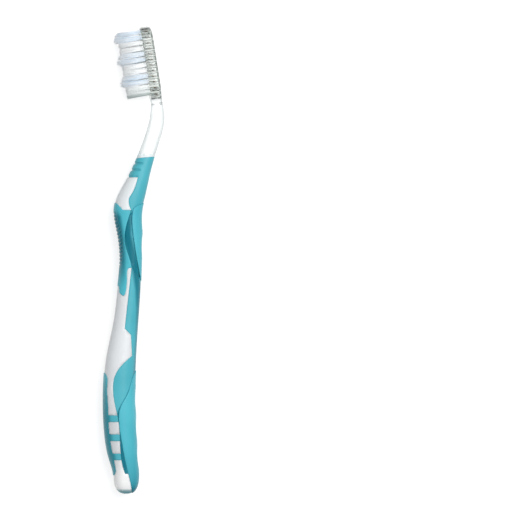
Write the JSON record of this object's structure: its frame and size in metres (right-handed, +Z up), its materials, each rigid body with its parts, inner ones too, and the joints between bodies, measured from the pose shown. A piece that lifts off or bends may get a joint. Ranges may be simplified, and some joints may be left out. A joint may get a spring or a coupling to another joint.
{
  "type": "manual toothbrush",
  "caption": "Manual toothbrush with a clear handle, soft teal grip pads, a ribbed thumb rest, a tilted head and bristle tufts trimmed in waves.",
  "frame": {"origin": "middle of the bounding box on the surface that the brush lies on", "axes": "+X from the head's tip to the tail, -Y the way the bristles point, +Z up from the flank it lies on"},
  "size_m": [0.1896, 0.025, 0.0137],
  "materials": {
    "clear_plastic": "clear, polished",
    "deep_teal_rubber": "satin",
    "teal_rubber": "satin",
    "blue_bristle": "fine filaments",
    "white_bristle": "fine filaments",
    "anchor_brass": "bare strip"
  },
  "bodies": {
    "root": {"handle_core": "clear_plastic", "grip_shell": "deep_teal_rubber", "thumb_pad": "teal_rubber", "finger_pad": "teal_rubber", "heel_pad": "teal_rubber", "palm_ladder": "deep_teal_rubber", "tuft_row_01": "blue_bristle", "tuft_row_02": "blue_bristle", "tuft_row_03": "white_bristle", "tuft_row_04": "white_bristle", "tuft_row_05": "blue_bristle", "tuft_row_06": "blue_bristle", "tuft_row_07": "white_bristle", "tuft_row_08": "white_bristle", "tuft_row_09": "blue_bristle", "tuft_row_10": "blue_bristle", "tuft_row_11": "white_bristle", "tuft_row_12": "white_bristle", "anchor_row_01": "anchor_brass", "anchor_row_02": "anchor_brass", "anchor_row_03": "anchor_brass", "anchor_row_04": "anchor_brass", "anchor_row_05": "anchor_brass", "anchor_row_06": "anchor_brass", "anchor_row_07": "anchor_brass", "anchor_row_08": "anchor_brass", "anchor_row_09": "anchor_brass", "anchor_row_10": "anchor_brass", "anchor_row_11": "anchor_brass", "anchor_row_12": "anchor_brass"}
  },
  "joints": []
}
